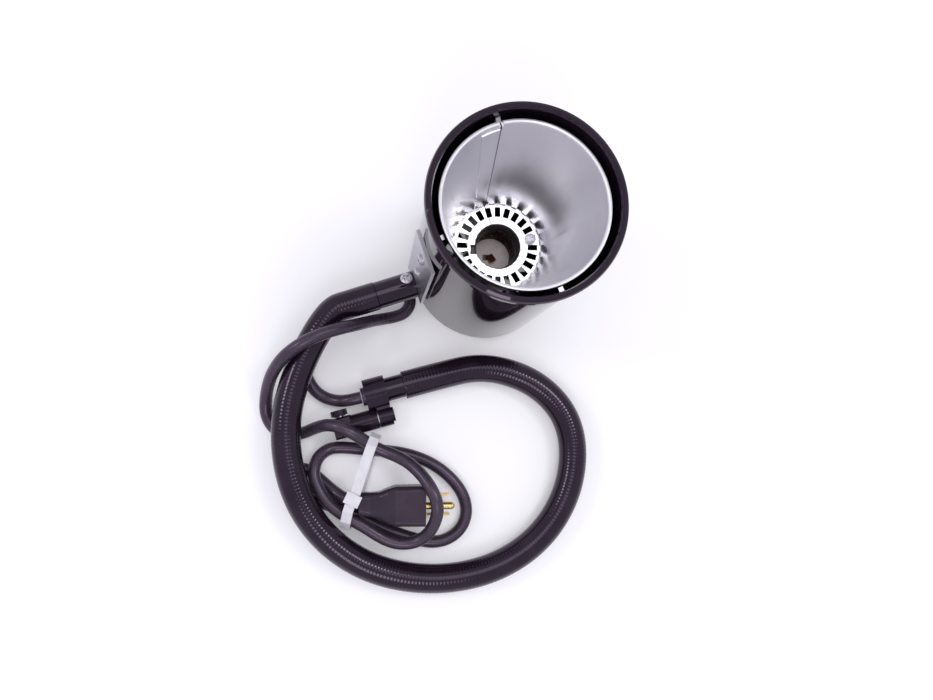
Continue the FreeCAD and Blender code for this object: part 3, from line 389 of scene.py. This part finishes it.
def make_sleeve():
    """The sleeve in three stretches: the fixed coil, and one over each of the short link's hinges."""
    corner = arm_point(PIVOT_FAR + 18.5)
    middle = arm_point((PIVOT_NEAR + PIVOT_FAR) / 2)
    tip = arm_point(FERRULE_END)
    line = line_points(NECK_ROUTE + [corner, arm_point(PIVOT_FAR + 4), middle, tip])
    total = line_length(line)
    reach = [(PIVOT_FAR + 10 - FERRULE_END) * MM, ((PIVOT_NEAR + PIVOT_FAR) / 2 - FERRULE_END) * MM]
    coil = ridged_tube("gooseneck_skin", line, 0.0, total - reach[0])
    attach(coil, "base_and_arm")
    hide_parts("gooseneck_sleeve")
    far_skin = ridged_tube("gooseneck_end_skin", line, total - reach[0], total - reach[1])
    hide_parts("neck_link_sleeve")
    near_skin = ridged_tube("neck_link_skin", line, total - reach[1], total)
    bends = ((far_skin, "base_and_arm", "neck_link", PIVOT_FAR, 5.0, 4.0),
             (near_skin, "neck_link", "lamp_head", PIVOT_NEAR, 4.0, 4.0))
    for skin, fixed, moved, pivot, before, after in bends:
        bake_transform(skin)


# Floor, lights and camera

def make_floor():
    bpy.ops.mesh.primitive_plane_add(size=6.0, location=(0.0, 0.0, -0.0002))
    floor = bpy.context.object
    floor.name = "floor"
    material, tree, shader = node_material("Pale floor")
    shader.inputs["Base Color"].default_value = (0.82, 0.81, 0.84, 1.0)
    shader.inputs["Roughness"].default_value = 0.5
    shader.inputs["Specular IOR Level"].default_value = 0.2
    path = tree.nodes.new("ShaderNodeLightPath")
    seen = tree.nodes.new("ShaderNodeMath")
    seen.operation = "MAXIMUM"
    tree.links.new(path.outputs["Is Camera Ray"], seen.inputs[0])
    tree.links.new(path.outputs["Is Glossy Ray"], seen.inputs[1])
    level = tree.nodes.new("ShaderNodeMath")
    level.operation = "MULTIPLY"
    level.inputs[1].default_value = 0.21
    tree.links.new(seen.outputs[0], level.inputs[0])
    shader.inputs["Emission Color"].default_value = (1.0, 1.0, 1.0, 1.0)
    tree.links.new(level.outputs[0], shader.inputs["Emission Strength"])
    floor.data.materials.append(material)


def area_light(name, place, target, width, height, power, colour=(1.0, 1.0, 1.0)):
    data = bpy.data.lights.new(name, "AREA")
    data.shape = "RECTANGLE"
    data.size = width
    data.size_y = height
    data.energy = power
    data.color = colour
    obj = bpy.data.objects.new(name, data)
    obj.location = place
    direction = Vector(target) - Vector(place)
    obj.rotation_euler = direction.to_track_quat("-Z", "Y").to_euler()
    bpy.context.scene.collection.objects.link(obj)


def make_lights():
    world = bpy.data.worlds.new("Studio")
    bpy.context.scene.world = world
    world.use_nodes = True
    background = world.node_tree.nodes["Background"]
    background.inputs["Color"].default_value = (0.93, 0.915, 1.0, 1.0)
    background.inputs["Strength"].default_value = 0.75
    centre = (-0.03, -0.08, 0.03)
    area_light("lamp_left", (-0.85, 0.10, 0.85), centre, 0.25, 0.25, 1.6)
    area_light("lamp_right", (0.50, 0.15, 1.05), centre, 0.25, 0.25, 2.0)
    area_light("lamp_front", (-0.10, -0.75, 1.00), centre, 0.25, 0.40, 1.6)
    area_light("lamp_top", (0.05, 0.10, 1.40), centre, 0.60, 0.60, 2.0)


CAMERA_PLACE = Vector((-0.07611, -0.11435, 0.50102))
CAMERA_TILT = math.radians(9.73)
CAMERA_HEADING = math.radians(40.96)
CAMERA_LENS = 27.97


def make_camera():
    data = bpy.data.cameras.new("camera")
    data.sensor_width = 36.0
    data.lens = CAMERA_LENS
    data.clip_start = 0.01
    obj = bpy.data.objects.new("camera", data)
    bpy.context.scene.collection.objects.link(obj)
    ahead = Vector((math.sin(CAMERA_TILT) * math.cos(CAMERA_HEADING),
                    math.sin(CAMERA_TILT) * math.sin(CAMERA_HEADING), -math.cos(CAMERA_TILT)))
    right = ahead.cross(Vector((0.0, 1.0, 0.0))).normalized()
    up = right.cross(ahead)
    turn = Matrix((right, up, -ahead)).transposed().to_4x4()
    obj.matrix_world = Matrix.Translation(CAMERA_PLACE) @ turn
    bpy.context.scene.camera = obj


dress_cad_nodes()
make_cord()
make_sleeve()
make_floor()
make_lights()
make_camera()
bpy.context.scene.view_settings.view_transform = "Standard"
